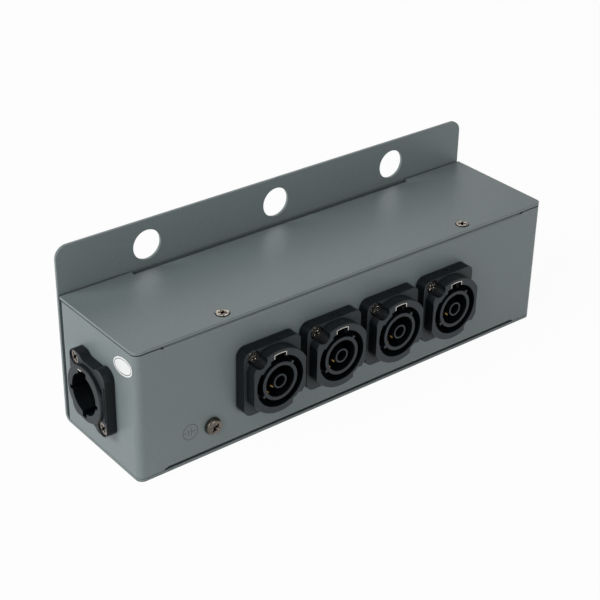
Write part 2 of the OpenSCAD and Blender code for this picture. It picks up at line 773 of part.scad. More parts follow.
// Steel strip of the lock, in the corner of the upper keyway and flush with the rim
module input_latch_plate() {
  strip_w = 2.6;
  strip_t = 0.5;
  strip_l = 6;
  color("silver") on_left_end() rotate(keyways[0][0])
    translate([keyways[0][2] - strip_t, keyways[0][1] / 2 - strip_w, in_rim_z - strip_l])
      cube([strip_t, strip_w, strip_l]);
}

// Disc behind the input mouth that holds the blades, with a short guide post
module input_carrier() {
  post_h = 7;
  color(plastic_colour) on_left_end() difference() {
    union() {
      translate([0, 0, -in_tab_z]) cylinder(r = insert_base_r, h = carrier_t);
      translate([0, 0, -in_tab_z]) cylinder(r = 1.6, h = carrier_t + post_h);
    }
    for (place = blades)
      translate([place[0] - tab_w / 2 - fit_gap, place[1] - tab_t / 2 - fit_gap, -in_tab_z - cut])
        cube([tab_w + 2 * fit_gap, tab_t + 2 * fit_gap, carrier_t + 2 * cut]);
  }
}

// Three blades that run from the mouth through the carrier to their rear tabs
module input_contacts() {
  color(brass_colour) on_left_end() for (place = blades)
    translate([place[0] - tab_w / 2, place[1] - tab_t / 2, -in_tab_z - tab_l])
      cube([tab_w, tab_t, tab_l + carrier_t + in_blade_l]);
}

// Wiring

terminal_start = 2;         // gap between what holds the contacts and the push-on terminals
out_terminal_end = out_tab_z + terminal_start + terminal_l;
in_terminal_end = in_tab_z + terminal_start + terminal_l;

// Insulated push-on terminal with a slot for the tab, open to +Z
module push_on_terminal() {
  slot_l = tab_l - terminal_start + fit_gap;
  color("#c8c8c0") translate([0, 0, -terminal_l]) difference() {
    translate([-terminal_w / 2, -terminal_h / 2, 0]) cube([terminal_w, terminal_h, terminal_l]);
    translate([-tab_w / 2 - fit_gap, -tab_t / 2 - fit_gap, terminal_l - slot_l])
      cube([tab_w + 2 * fit_gap, tab_t + 2 * fit_gap, slot_l + cut]);
  }
}

// Terminals sit on the line, neutral and earth tabs, and the fourth tab stays free
module wire_terminals() {
  for (i = [1:output_count], place = [[-1, 1], [-1, -1], [1, 1]]) on_front(output_x(i))
    translate([place[0] * tab_x, place[1] * tab_x, -out_tab_z - terminal_start]) push_on_terminal();
  for (place = blades) on_left_end()
    translate([place[0], place[1], -in_tab_z - terminal_start]) push_on_terminal();
}

function unit(v) = v / norm(v);

// Round wire along points whose stretches run along X, Y or Z, with a bend at each inner point
module wire(points) {
  last = len(points) - 1;
  for (i = [0:last - 1]) {
    way = unit(points[i + 1] - points[i]);
    side = way.z == 0 ? [0, 0, 1] : [1, 0, 0];
    across = cross(way, side);
    start = points[i] + way * (i == 0 ? 0 : wire_bend_r);
    stretch = norm(points[i + 1] - start) - (i == last - 1 ? 0 : wire_bend_r);
    if (stretch > 0) multmatrix([
      [side.x, across.x, way.x, start.x],
      [side.y, across.y, way.y, start.y],
      [side.z, across.z, way.z, start.z]
    ]) cylinder(d = wire_d, h = stretch, $fn = 20);
  }
  for (i = [1:last - 1]) {
    in = unit(points[i] - points[i - 1]);
    out = unit(points[i + 1] - points[i]);
    turn = cross(-out, in);
    middle = points[i] + (out - in) * wire_bend_r;
    multmatrix([
      [-out.x, in.x, turn.x, middle.x],
      [-out.y, in.y, turn.y, middle.y],
      [-out.z, in.z, turn.z, middle.z]
    ]) rotate_extrude(angle = 90, $fn = 20) translate([wire_bend_r, 0]) circle(d = wire_d, $fn = 20);
  }
}

out_end_y = front_y + out_terminal_end;
in_end_x = left_x + in_terminal_end;
run_y = front_y + run_depth;
earth_run_y = front_y + earth_run_depth;
lead_x = in_end_x + 8;      // where the leads from the input turn to the back

// Jumpers of one pole between neighbouring output sockets, which rise or drop to clear the others
module pole_wires(side, rise, blade, colour) {
  tab_z = axis_z + side * tab_x;
  run_z = axis_z + rise;
  first_x = output_x(1) - tab_x - wire_pair / 2;
  color(colour) {
    wire([
      [in_end_x, -blade[0], tab_z], [lead_x, -blade[0], tab_z],
      [lead_x, run_y, tab_z], [first_x, run_y, tab_z], [first_x, out_end_y, tab_z]
    ]);
    for (i = [1:output_count - 1]) {
      x0 = output_x(i) - tab_x + wire_pair / 2;
      x1 = output_x(i + 1) - tab_x - wire_pair / 2;
      wire([
        [x0, out_end_y, tab_z], [x0, run_y, tab_z], [x0, run_y, run_z],
        [x1, run_y, run_z], [x1, run_y, tab_z], [x1, out_end_y, tab_z]
      ]);
    }
  }
}

module line_wires() pole_wires(1, run_rise, blade_line, "saddlebrown");

module neutral_wires() pole_wires(-1, -run_rise, blade_neutral, "royalblue");

module earth_wires() {
  tab_z = axis_z + tab_x;
  lead_y = -blade_earth[0] + wire_pair / 2;
  bond_y = -blade_earth[0] - wire_pair / 2;
  blade_z = input_z + blade_earth[1];
  bond_x = left_x + earth_x;
  barrel_y = front_y + barrel_depth;
  first_x = output_x(1) + tab_x - wire_pair / 2;
  riser_x = lead_x + 2 * wire_d;
  color("yellowgreen") {
    wire([
      [in_end_x, lead_y, blade_z], [riser_x, lead_y, blade_z], [riser_x, earth_run_y, blade_z],
      [riser_x, earth_run_y, tab_z], [first_x, earth_run_y, tab_z], [first_x, out_end_y, tab_z]
    ]);
    wire([
      [in_end_x, bond_y, blade_z], [bond_x, bond_y, blade_z],
      [bond_x, barrel_y, blade_z], [bond_x, barrel_y, earth_z + barrel_high]
    ]);
    for (i = [1:output_count - 1]) {
      x0 = output_x(i) + tab_x + wire_pair / 2;
      x1 = output_x(i + 1) + tab_x - wire_pair / 2;
      wire([
        [x0, out_end_y, tab_z], [x0, earth_run_y, tab_z], [x1, earth_run_y, tab_z], [x1, out_end_y, tab_z]
      ]);
    }
  }
}

wall_panel();
back_base_panel();
top_cover();
cover_screws();
base_screws();
back_screws();
clinch_nuts();
inspection_label();
earth_screw();
earth_washer();
earth_ring_terminal();
earth_nut();
input_shell();
input_latch_plate();
input_carrier();
input_contacts();
input_screws();
output_screws();
socket_nuts();
output_shell(1);  // output_1_shell
output_latch_plate(1);  // output_1_latch_plate
output_insert(1);  // output_1_insert
output_contacts(1);  // output_1_contacts
output_shell(2);  // output_2_shell
output_latch_plate(2);  // output_2_latch_plate
output_insert(2);  // output_2_insert
output_contacts(2);  // output_2_contacts
output_shell(3);  // output_3_shell
output_latch_plate(3);  // output_3_latch_plate
output_insert(3);  // output_3_insert
output_contacts(3);  // output_3_contacts
output_shell(4);  // output_4_shell
output_latch_plate(4);  // output_4_latch_plate
output_insert(4);  // output_4_insert
output_contacts(4);  // output_4_contacts
line_wires();
neutral_wires();
earth_wires();
wire_terminals();
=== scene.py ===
# %% [markdown]
# This notebook dresses a power distribution box for stage lighting. The box is folded from grey
# powder-coated sheet steel. It has one power inlet on its left end, a row of four locking outlets
# on its front, and a drilled flange behind the cover by which it hangs from a truss.
#
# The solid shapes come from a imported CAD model, which is loaded first and never moved. Every
# length here is in metres, and X runs along the box, Y from its front to its back, and Z up.

# %% Load the CAD model
import math

import bmesh
import bpy
from mathutils import Matrix, Vector


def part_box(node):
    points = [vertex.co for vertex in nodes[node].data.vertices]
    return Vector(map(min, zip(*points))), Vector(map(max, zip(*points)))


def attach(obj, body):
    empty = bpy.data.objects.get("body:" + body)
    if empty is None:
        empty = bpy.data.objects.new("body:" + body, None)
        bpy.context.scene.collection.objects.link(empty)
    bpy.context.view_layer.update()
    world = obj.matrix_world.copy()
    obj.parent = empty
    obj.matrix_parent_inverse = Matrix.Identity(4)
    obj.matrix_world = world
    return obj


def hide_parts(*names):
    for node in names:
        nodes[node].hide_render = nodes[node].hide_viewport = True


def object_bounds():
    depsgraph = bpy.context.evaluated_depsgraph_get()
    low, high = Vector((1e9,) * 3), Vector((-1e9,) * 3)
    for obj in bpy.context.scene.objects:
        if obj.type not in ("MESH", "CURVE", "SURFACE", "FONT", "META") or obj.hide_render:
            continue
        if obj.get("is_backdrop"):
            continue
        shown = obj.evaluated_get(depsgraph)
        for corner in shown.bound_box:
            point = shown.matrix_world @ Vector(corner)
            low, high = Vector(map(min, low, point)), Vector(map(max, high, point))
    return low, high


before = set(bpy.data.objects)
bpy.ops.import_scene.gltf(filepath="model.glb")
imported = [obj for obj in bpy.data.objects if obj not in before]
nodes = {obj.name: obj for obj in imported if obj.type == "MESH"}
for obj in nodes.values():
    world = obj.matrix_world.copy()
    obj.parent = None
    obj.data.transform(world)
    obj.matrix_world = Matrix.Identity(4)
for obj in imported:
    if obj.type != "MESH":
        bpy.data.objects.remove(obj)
cad_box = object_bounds()
mm = 0.001
print("CAD nodes:", len(nodes), "size in mm:", [round(v / mm, 1) for v in cad_box[1] - cad_box[0]])

# %% [markdown]
# The camera stands to the left of the front and looks down at the box. Its place was solved from
# the straight edges of the housing, so it is given as a point, two angles and a small roll. A lens
# of about 89 mm on a 36 mm sensor gives the mild perspective of a product photograph.

# %% Camera
camera_place = Vector((-355.6, -434.4, 355.5)) * mm
camera_azimuth = math.radians(-38.72)
camera_elevation = math.radians(29.9)
camera_roll = math.radians(1.044)
level = math.cos(camera_elevation)
back = Vector((
    math.sin(camera_azimuth) * level,
    -math.cos(camera_azimuth) * level,
    math.sin(camera_elevation),
))
right = (-back).cross(Vector((0, 0, 1))).normalized()
up = right.cross(-back)
tilted_right = right * math.cos(camera_roll) + up * math.sin(camera_roll)
tilted_up = up * math.cos(camera_roll) - right * math.sin(camera_roll)
camera_data = bpy.data.cameras.new("camera")
camera_data.lens = 89.45
camera_data.sensor_width = 36
camera = bpy.data.objects.new("camera", camera_data)
camera_turn = Matrix((tilted_right, tilted_up, back)).transposed().to_4x4()
camera.matrix_world = Matrix.Translation(camera_place) @ camera_turn
bpy.context.scene.collection.objects.link(camera)
bpy.context.scene.camera = camera
print("camera looks from", [round(v, 3) for v in camera_place])

# %% [markdown]
# Colours are written as they look on a screen, from 0 to 255, because that is how they are read
# off a sample. Blender's shaders want linear light, so one small function converts them.
#
# Every finish below is a Principled shader plus a little noise: real surfaces are never one flat
# number. A helper makes the nodes and links them, so that each finish reads as a short recipe.

# %% Colour and node helpers
def screen_colour(red, green, blue):
    """Turns a colour as seen on a screen into the linear values that shaders use."""
    shares = [value / 255 for value in (red, green, blue)]
    return tuple(s / 12.92 if s <= 0.04045 else ((s + 0.055) / 1.055) ** 2.4 for s in shares) + (1,)


def new_finish(name, metallic=0.0, roughness=0.5, specular=0.5):
    """Starts a material with a Principled shader, and returns the material and its nodes."""
    material = bpy.data.materials.new(name)
    material.use_nodes = True
    shader = material.node_tree.nodes["Principled BSDF"]
    shader.inputs["Metallic"].default_value = metallic
    shader.inputs["Roughness"].default_value = roughness
    shader.inputs["Specular IOR Level"].default_value = specular
    return material, material.node_tree, shader


def noise(tree, scale, detail=2.0, stretch=(1, 1, 1)):
    """Adds noise in the object's own coordinates. A scale of 1000 gives grains about 1 mm across."""
    where = tree.nodes.new("ShaderNodeTexCoord")
    stretched = tree.nodes.new("ShaderNodeMapping")
    stretched.inputs["Scale"].default_value = stretch
    texture = tree.nodes.new("ShaderNodeTexNoise")
    texture.inputs["Scale"].default_value = scale
    texture.inputs["Detail"].default_value = detail
    tree.links.new(where.outputs["Object"], stretched.inputs["Vector"])
    tree.links.new(stretched.outputs["Vector"], texture.inputs["Vector"])
    return texture.outputs["Fac"]


def ramp(tree, amount, stops):
    """Turns an amount from 0 to 1 into a colour or a grey level, through a few stops."""
    node = tree.nodes.new("ShaderNodeValToRGB")
    elements = node.color_ramp.elements
    while len(elements) < len(stops):
        elements.new(0.5)
    for element, (position, colour) in zip(elements, stops):
        element.position = position
        element.color = colour if isinstance(colour, tuple) else (colour, colour, colour, 1)
    tree.links.new(amount, node.inputs["Fac"])
    return node.outputs["Color"]


def multiply(tree, first, second):
    """Multiplies two colours."""
    node = tree.nodes.new("ShaderNodeMix")
    node.data_type = "RGBA"
    node.blend_type = "MULTIPLY"
    node.inputs["Factor"].default_value = 1.0
    tree.links.new(first, node.inputs["A"])
    tree.links.new(second, node.inputs["B"])
    return node.outputs["Result"]


def painted_crevice_shade(tree, distance, darkest):
    """Painted shade: a grey level that is 1 on open faces and sinks towards darkest where faces stand close.
    """
    node = tree.nodes.new("ShaderNodeAmbientOcclusion")
    node.samples = 6
    node.inputs["Distance"].default_value = distance
    return ramp(tree, node.outputs["AO"], [(0.35, darkest), (0.85, 1.0)])


def bump(tree, height, distance, strength=1.0, normal=None):
    """Raises the surface by a height of at most distance, in metres."""
    node = tree.nodes.new("ShaderNodeBump")
    node.inputs["Distance"].default_value = distance
    node.inputs["Strength"].default_value = strength
    tree.links.new(height, node.inputs["Height"])
    if normal is not None:
        tree.links.new(normal, node.inputs["Normal"])
    return node.outputs["Normal"]


def soft_edges(tree, radius):
    """Rounds the look of sharp edges, as paint, moulding or tumbling does."""
    node = tree.nodes.new("ShaderNodeBevel")
    node.samples = 6
    node.inputs["Radius"].default_value = radius
    return node.outputs["Normal"]


print("helpers ready")

# %% [markdown]
# Powder coat is baked plastic powder. Up close it has an orange-peel texture of soft bumps about
# a millimetre apart, and a fine grain on top. It is satin: a broad, dull reflection and no mirror.
# The colour barely varies, so the grain moves it by a few levels only. Seams and corners get a
# little painted shade from the crevice helper, which darkens them.

# %% Powder coat
powder_coat, tree, shader = new_finish("powder_coat", roughness=0.42, specular=0.5)
fine_grain = noise(tree, 2600, detail=3)
orange_peel = noise(tree, 900, detail=1)
tone = ramp(tree, fine_grain, [(0.3, screen_colour(116, 127, 128)), (0.7, screen_colour(128, 139, 140))])
# Painted shade: the paint's tone darkens in seams and corners, where other faces stand close.
tone_with_painted_shade = multiply(tree, tone, painted_crevice_shade(tree, 1.2 * mm, 0.45))
tree.links.new(tone_with_painted_shade, shader.inputs["Base Color"])
tree.links.new(ramp(tree, orange_peel, [(0.3, 0.38), (0.7, 0.46)]), shader.inputs["Roughness"])
rounded = soft_edges(tree, 0.25 * mm)
peel = bump(tree, orange_peel, 0.02 * mm, 0.5, rounded)
tree.links.new(bump(tree, fine_grain, 0.01 * mm, 0.5, peel), shader.inputs["Normal"])
print("powder coat made")

# %% [markdown]
# The sockets are moulded from glass-filled nylon. A mould is spark-eroded on the faces that lie
# across the pull, and polished on the walls along it, so that the piece comes out. The faces that
# look out of the box are therefore a dull dark grey and the walls of the moulding a deep black.
# The shader tells them apart by their normal: its dot product with the outward direction is 1 on
# the dull faces and 0 on the walls. Their rims catch the light because moulded edges are round.

# %% Black moulded plastic
def moulded(name, outward):
    """Black plastic with dull faces that look outward and smooth, blacker walls."""
    material, tree, shader = new_finish(name, specular=0.35)
    where = tree.nodes.new("ShaderNodeTexCoord")
    facing = tree.nodes.new("ShaderNodeVectorMath")
    facing.operation = "DOT_PRODUCT"
    facing.inputs[1].default_value = outward
    tree.links.new(where.outputs["Normal"], facing.inputs[0])
    outwardness = facing.outputs["Value"]
    tone = ramp(tree, outwardness, [(0.8, screen_colour(7, 14, 19)), (0.97, screen_colour(52, 58, 62))])
    spark_texture = noise(tree, 2600, detail=3)
    speckle = ramp(tree, spark_texture, [(0.3, 0.72), (0.7, 1.0)])
    tree.links.new(multiply(tree, tone, speckle), shader.inputs["Base Color"])
    tree.links.new(ramp(tree, outwardness, [(0.8, 0.4), (0.97, 0.6)]), shader.inputs["Roughness"])
    rounded = soft_edges(tree, 0.25 * mm)
    tree.links.new(bump(tree, spark_texture, 0.012 * mm, 0.5, rounded), shader.inputs["Normal"])
    return material


plastic_front = moulded("plastic_front", (0, -1, 0))
plastic_left = moulded("plastic_left", (-1, 0, 0))
print("black plastic made for the two walls with sockets")

# %% [markdown]
# Bare metal differs from piece to piece: the screws are nickel plated and a little brown, the nuts
# and washers zinc plated, the latch plates bright spring steel and the contacts brass. All of them
# are the same recipe with other numbers, so one function makes them. The stretch of the noise
# gives rolled strips their fine lines, and crosses and slots get painted shade, darker where faces
# stand close.
#
# The screws differ too. Those in the black sockets are nearly black with bright specks, and the
# ones in the cover are blotchy, light and dark. Hard-edged patches in their tone make that, and the
# bright patches are painted glints. The earth screw has a darker copy of the nickel, as painted shade.

# %% Metals
def metal(name, dark, light, roughness, grain_scale, stretch=(1, 1, 1), edge=0.1, stain_and_glint_scale=500,
          blend=0.15):
    """A metal whose tone runs between two colours and whose gloss varies with its grain.

    A small blend gives patches with a hard edge, and a large one lets the two colours melt together.
    On most metals the patches are stains; on the dark and blotchy screws the bright ones are painted
    glints.
    """
    material, tree, shader = new_finish(name, metallic=1.0, roughness=roughness)
    grain = noise(tree, grain_scale, detail=3, stretch=stretch)
    stain_and_glint = noise(tree, stain_and_glint_scale, detail=2)
    stain_and_glint_tone = ramp(tree, stain_and_glint, [(0.5 - blend, dark), (0.5 + blend, light)])
    # Painted shade: the tone sinks almost to black in crosses, slots and wherever faces stand close.
    tree.links.new(multiply(tree, stain_and_glint_tone, painted_crevice_shade(tree, 0.8 * mm, 0.03)), shader.inputs["Base Color"])
    gloss = [(0.3, roughness - 0.06), (0.7, roughness + 0.08)]
    tree.links.new(ramp(tree, grain, gloss), shader.inputs["Roughness"])
    tree.links.new(bump(tree, grain, 0.008 * mm, 0.4, soft_edges(tree, edge * mm)), shader.inputs["Normal"])
    return material


screw_nickel = metal("screw_nickel", screen_colour(104, 98, 92), screen_colour(146, 138, 130), 0.22, 2500)
# Painted glints: bright specks with hard edges in a nearly black tone.
dark_nickel_painted_glints = metal("dark_nickel_painted_glints", screen_colour(14, 13, 12), screen_colour(254, 246, 236), 0.18, 2500,
                    edge=0.15, stain_and_glint_scale=1500, blend=0.07)
# Painted glints: hard-edged light patches in a darker, blotchy tone.
blotchy_nickel_painted_glints = metal("blotchy_nickel_painted_glints", screen_colour(60, 56, 52), screen_colour(180, 171, 160), 0.2, 2500,
                    stain_and_glint_scale=1200, blend=0.08)
# Painted shade: a darker copy of the screw nickel, for the earth screw on the front.
shaded_nickel = metal("shaded_nickel", screen_colour(84, 78, 73), screen_colour(110, 103, 96), 0.25, 2500)
zinc = metal("zinc", screen_colour(176, 176, 168), screen_colour(204, 204, 198), 0.36, 2000)
spring_steel = metal("spring_steel", screen_colour(190, 186, 178), screen_colour(226, 222, 214), 0.24, 1500,
                     stretch=(0.1, 1, 4), edge=0.05)
# Painted shade: a darker copy of the brass for the outlets' contacts, which dims their glints.
shaded_brass = metal("shaded_brass", screen_colour(112, 90, 48), screen_colour(166, 138, 82), 0.34, 1800)
brass = metal("brass", screen_colour(176, 140, 72), screen_colour(212, 178, 104), 0.3, 1800,
              stretch=(1, 0.1, 1))
metals = (screw_nickel, dark_nickel_painted_glints, blotchy_nickel_painted_glints, shaded_nickel, zinc, spring_steel, shaded_brass, brass)
print("metals made:", [m.name for m in metals])

# %% [markdown]
# The sticker is a white film with a thin printed oval. Inside the closed box run wires with a
# smooth plastic insulation and terminals in pale sleeves. They can't be seen, but whoever opens
# the model finds them, so they get plain, true finishes too.

# %% Films, inks and insulation
def soft_plastic(name, colour, roughness, variation=6, grain_scale=1500):
    """A plastic in one colour whose tone and gloss vary a little."""
    material, tree, shader = new_finish(name, roughness=roughness)
    grain = noise(tree, grain_scale, detail=2)
    darker = screen_colour(*[max(c - variation, 0) for c in colour])
    lighter = screen_colour(*colour)
    tree.links.new(ramp(tree, grain, [(0.35, darker), (0.65, lighter)]), shader.inputs["Base Color"])
    gloss = [(0.3, roughness - 0.05), (0.7, roughness + 0.05)]
    tree.links.new(ramp(tree, grain, gloss), shader.inputs["Roughness"])
    tree.links.new(bump(tree, grain, 0.005 * mm, 0.4), shader.inputs["Normal"])
    return material


label_film = soft_plastic("label_film", (248, 250, 250), 0.35)
label_white = soft_plastic("label_white", (253, 254, 254), 0.35)
label_ink = soft_plastic("label_ink", (60, 64, 68), 0.4)
sign_ink = soft_plastic("sign_ink", (68, 75, 77), 0.5)
wire_brown = soft_plastic("wire_brown", (112, 70, 44), 0.3)
wire_blue = soft_plastic("wire_blue", (46, 84, 166), 0.3)
terminal_sleeve = soft_plastic("terminal_sleeve", (214, 214, 204), 0.45)
print("films, inks and wire plastics made")

# %% [markdown]
# An earth wire is green with a yellow stripe. The stripe is a soft band pattern that crosses the
# wire at a slant, mapped through a ramp with a hard step.

# %% Earth wire insulation
wire_earth, tree, shader = new_finish("wire_earth", roughness=0.3)
where = tree.nodes.new("ShaderNodeTexCoord")
bands = tree.nodes.new("ShaderNodeTexWave")
bands.bands_direction = "DIAGONAL"
bands.inputs["Scale"].default_value = 45
tree.links.new(where.outputs["Object"], bands.inputs["Vector"])
green = screen_colour(52, 128, 60)
yellow = screen_colour(226, 206, 60)
stripe = ramp(tree, bands.outputs["Fac"], [(0.48, green), (0.52, yellow)])
tree.links.new(stripe, shader.inputs["Base Color"])
tree.links.new(bump(tree, noise(tree, 1500), 0.005 * mm, 0.4), shader.inputs["Normal"])
print("insulation made")

# %% [markdown]
# The CAD parts are named for what they are, so a list of name beginnings is enough to give each
# one its finish. The first beginning that fits a name wins.

# %% Give each CAD part its finish
finish_of = [
    ("wall_panel", powder_coat), ("back_base_panel", powder_coat), ("top_cover", powder_coat),
    ("clinch_nuts", zinc), ("socket_nuts", zinc), ("earth_washer", zinc), ("earth_nut", zinc),
    ("earth_ring_terminal", brass), ("earth_wires", wire_earth), ("line_wires", wire_brown),
    ("neutral_wires", wire_blue), ("wire_terminals", terminal_sleeve), ("inspection_label", label_film),
    ("input_contacts", brass), ("input_shell", plastic_left), ("input_carrier", plastic_left),
    ("output_screws", dark_nickel_painted_glints), ("cover_screws", blotchy_nickel_painted_glints),
]
ending_finishes = [
    ("_latch_plate", spring_steel), ("_contacts", shaded_brass), ("_shell", plastic_front),
    ("_insert", plastic_front), ("screws", screw_nickel), ("screw", screw_nickel),
]


def finish_for(name):
    """The finish of a CAD part, by how its name begins or else by how it ends."""
    for beginning, material in finish_of:
        if name.startswith(beginning):
            return material
    for ending, material in ending_finishes:
        if name.endswith(ending):
            return material
    raise ValueError("no finish is chosen for " + name)


for name, part in nodes.items():
    part.data.materials.clear()
    part.data.materials.append(finish_for(name))
print("finishes given to", len(nodes), "parts")

# %% [markdown]
# The earth screw has a pan head: a short straight side, a rounded edge and a slightly domed face.
# Its outline is drawn once and spun about the screw's axis. Two tapered bars and a cone then cut
# the cross recess with Boolean modifiers, whose result becomes the screw's own mesh. Building the
# recess face by face would be exact too, but much longer. The cuts leave a few points almost on
# top of each other, and those are merged at the end. A cut also gives its faces in another order
# on each run, so the finished mesh is sorted, and every run makes the same one.

# %% Earth screw
def spun(name, outline, steps=64):
    """A solid of revolution about Z, from points of radius and height in millimetres."""
    shape = bmesh.new()
    points = [shape.verts.new((radius * mm, 0, height * mm)) for radius, height in outline]
    edges = [shape.edges.new(pair) for pair in zip(points, points[1:])]
    bmesh.ops.spin(shape, geom=points + edges, axis=(0, 0, 1), cent=(0, 0, 0), angle=2 * math.pi, steps=steps)
    bmesh.ops.remove_doubles(shape, verts=shape.verts, dist=0.001 * mm)
    bmesh.ops.recalc_face_normals(shape, faces=shape.faces)
    return as_object(name, shape)


def tapered_bar(name, turn, top, bottom, high, low):
    """A bar through the Z axis whose half length and half width shrink from its top to its bottom."""
    shape = bmesh.new()
    corners = [(1, 1), (-1, 1), (-1, -1), (1, -1)]
    ends = []
    for (half_length, half_width), height in ((top, high), (bottom, low)):
        places = [(x * half_length * mm, y * half_width * mm, height * mm) for x, y in corners]
        ends.append([shape.verts.new(place) for place in places])
    shape.faces.new(ends[0])
    shape.faces.new(ends[1][::-1])
    for i in range(4):
        j = (i + 1) % 4
        shape.faces.new([ends[0][j], ends[0][i], ends[1][i], ends[1][j]])
    bmesh.ops.rotate(shape, verts=shape.verts, matrix=Matrix.Rotation(math.radians(turn), 3, "Z"))
    bmesh.ops.recalc_face_normals(shape, faces=shape.faces)
    return as_object(name, shape)


def as_object(name, shape):
    """Puts a mesh that is being edited into a new object of the scene."""
    mesh = bpy.data.meshes.new(name)
    shape.to_mesh(mesh)
    shape.free()
    piece = bpy.data.objects.new(name, mesh)
    bpy.context.scene.collection.objects.link(piece)
    return piece


def rounded_place(point):
    """A point's place to a tenth of a micrometre. Adding zero makes a negative zero a plain one."""
    return tuple(round(length, 7) + 0.0 for length in point.co)


def in_fixed_order(shape):
    """The points and faces of a mesh, rounded and sorted so that every run gives the same ones."""
    places = sorted(rounded_place(point) for point in shape.verts)
    numbers = {place: number for number, place in enumerate(places)}
    faces = []
    for face in shape.faces:
        corners = [numbers[rounded_place(point)] for point in face.verts]
        first = corners.index(min(corners))
        faces.append(corners[first:] + corners[:first])
    return places, sorted(faces)


nearly_touching = 0.003 * mm


def cut_away(piece, cutters):
    """Cuts pieces out of another one, merges points that nearly meet, and deletes the cutters."""
    for cutter in cutters:
        modifier = piece.modifiers.new("cut", "BOOLEAN")
        modifier.operation = "DIFFERENCE"
        modifier.object = cutter
    ready = piece.evaluated_get(bpy.context.evaluated_depsgraph_get())
    shape = bmesh.new()
    shape.from_mesh(ready.data)
    bmesh.ops.remove_doubles(shape, verts=shape.verts, dist=nearly_touching)
    points, faces = in_fixed_order(shape)
    shape.free()
    mesh = bpy.data.meshes.new(piece.name)
    mesh.from_pydata(points, [], faces)
    piece.modifiers.clear()
    piece.data = mesh
    for cutter in cutters:
        bpy.data.objects.remove(cutter)


head_height = 2.6
screw_outline = [
    (0, head_height), (1.3, 2.57), (2.2, 2.49), (2.85, 2.36), (3.25, 2.2), (3.53, 1.95), (3.7, 1.6),
    (3.75, 1.2), (3.75, 0), (2, 0), (2, -11.5), (1.5, -12), (0, -12),
]
earth_screw = spun("pan_head_earth_screw", screw_outline)
cutter_top = head_height + 0.3
bar_bottom = head_height - 1.5
bar_top_halves = (2.35, 0.5)
bar_bottom_halves = (1.2, 0.3)
cross = [
    tapered_bar("cross_bar_" + str(turn), turn, bar_top_halves, bar_bottom_halves, cutter_top, bar_bottom)
    for turn in (45, 135)
]
cone_outline = [(0, cutter_top), (1.35, cutter_top), (0.7, head_height - 1.7), (0, head_height - 1.9)]
cone = spun("cross_cone", cone_outline)
cut_away(earth_screw, cross + [cone])
earth_screw.data.shade_smooth()
sharp_edge = math.radians(32)
earth_screw.data.set_sharp_from_angle(angle=sharp_edge)
earth_screw.data.transform(Matrix.Rotation(math.radians(90), 4, "X"))
screw_low, screw_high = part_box("earth_screw")
screw_middle = (screw_low + screw_high) / 2
earth_screw.location = (screw_middle.x, screw_low.y + head_height * mm, screw_middle.z)
earth_screw.data.materials.clear()
earth_screw.data.materials.append(shaded_nickel)
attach(earth_screw, "root")
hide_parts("earth_screw")
print("earth screw has", len(earth_screw.data.polygons), "faces")

# %% [markdown]
# Two things are printed on the real box: the thin oval on the sticker and the earth sign beside
# the earth screw. Each print is made as a film a few hundredths of a millimetre thick on its wall.
# A picture could show them too, but real shapes stay sharp from any distance. They are drawn flat
# on a plane, given that small thickness, and placed on the wall. Only the edges round a shape get a
# side wall, so that every print is closed and has no faces inside.

# %% Shapes for prints
print_thickness = 0.03 * mm


def band_points(half_width, half_height, steps=96):
    """Points round an ellipse."""
    turns = [2 * math.pi * i / steps for i in range(steps)]
    return [(half_width * math.cos(t), half_height * math.sin(t)) for t in turns]


def oval_line(half_width, half_height, line, steps=96):
    """A closed oval line, as its points and its four-sided faces."""
    points = band_points(half_width, half_height, steps)
    points += band_points(half_width - line, half_height - line, steps)
    turns = [(i, (i + 1) % steps) for i in range(steps)]
    return points, [(i, j, steps + j, steps + i) for i, j in turns]


def filled(points):
    """A flat shape with one face, from the points round its outline, against the clock."""
    return points, [tuple(range(len(points)))]


def rim_edges(faces):
    """The edges that belong to one face only, in the direction in which that face runs."""
    edges = {(face[i - 1], face[i]) for face in faces for i in range(len(face))}
    return sorted(edge for edge in edges if edge[::-1] not in edges)


def printed(name, shapes, place, along, upward, material):
    """Makes flat shapes into a thin closed print at a place, drawn along two directions of its wall."""
    outward = along.cross(upward)
    points = []
    faces = []
    for flat_points, flat_faces in shapes:
        low = len(points)
        high = low + len(flat_points)
        for lift in (0, print_thickness):
            points += [place + along * x + upward * y + outward * lift for x, y in flat_points]
        for face in flat_faces:
            faces.append([low + i for i in reversed(face)])
            faces.append([high + i for i in face])
        for start, end in rim_edges(flat_faces):
            faces.append([low + start, low + end, high + end, high + start])
    mesh = bpy.data.meshes.new(name)
    mesh.from_pydata(points, [], faces)
    mesh.materials.append(material)
    piece = bpy.data.objects.new(name, mesh)
    bpy.context.scene.collection.objects.link(piece)
    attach(piece, "root")
    print(name, "has", len(faces), "faces")


print("prints are", print_thickness / mm, "mm thick")

# %% [markdown]
# An inspection sticker is a white oval film with a thin printed line a little inside its edge. The
# CAD model has the film. Its bright rim and the dark line are two closed bands, turned a little as
# the sticker is, and the rim's inner edge is where the line begins.

# %% Sticker rim and line
label_low, label_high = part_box("inspection_label")
label_middle = (label_low + label_high) / 2
label_face = Vector((label_low.x, label_middle.y, label_middle.z))
label_half_width = 6.7 * mm
label_half_height = 4 * mm
label_turn = math.radians(11)
to_the_front = Vector((0, -1, 0))
upward = Vector((0, 0, 1))
along_label = to_the_front * math.cos(label_turn) + upward * math.sin(label_turn)
up_label = upward * math.cos(label_turn) - to_the_front * math.sin(label_turn)
rim_width = 0.6 * mm
line_width = 0.3 * mm
rim = oval_line(label_half_width, label_half_height, rim_width)
oval = oval_line(label_half_width - rim_width, label_half_height - rim_width, line_width)
printed("label_white_rim", [rim], label_face, along_label, up_label, label_white)
printed("label_oval_line", [oval], label_face, along_label, up_label, label_ink)

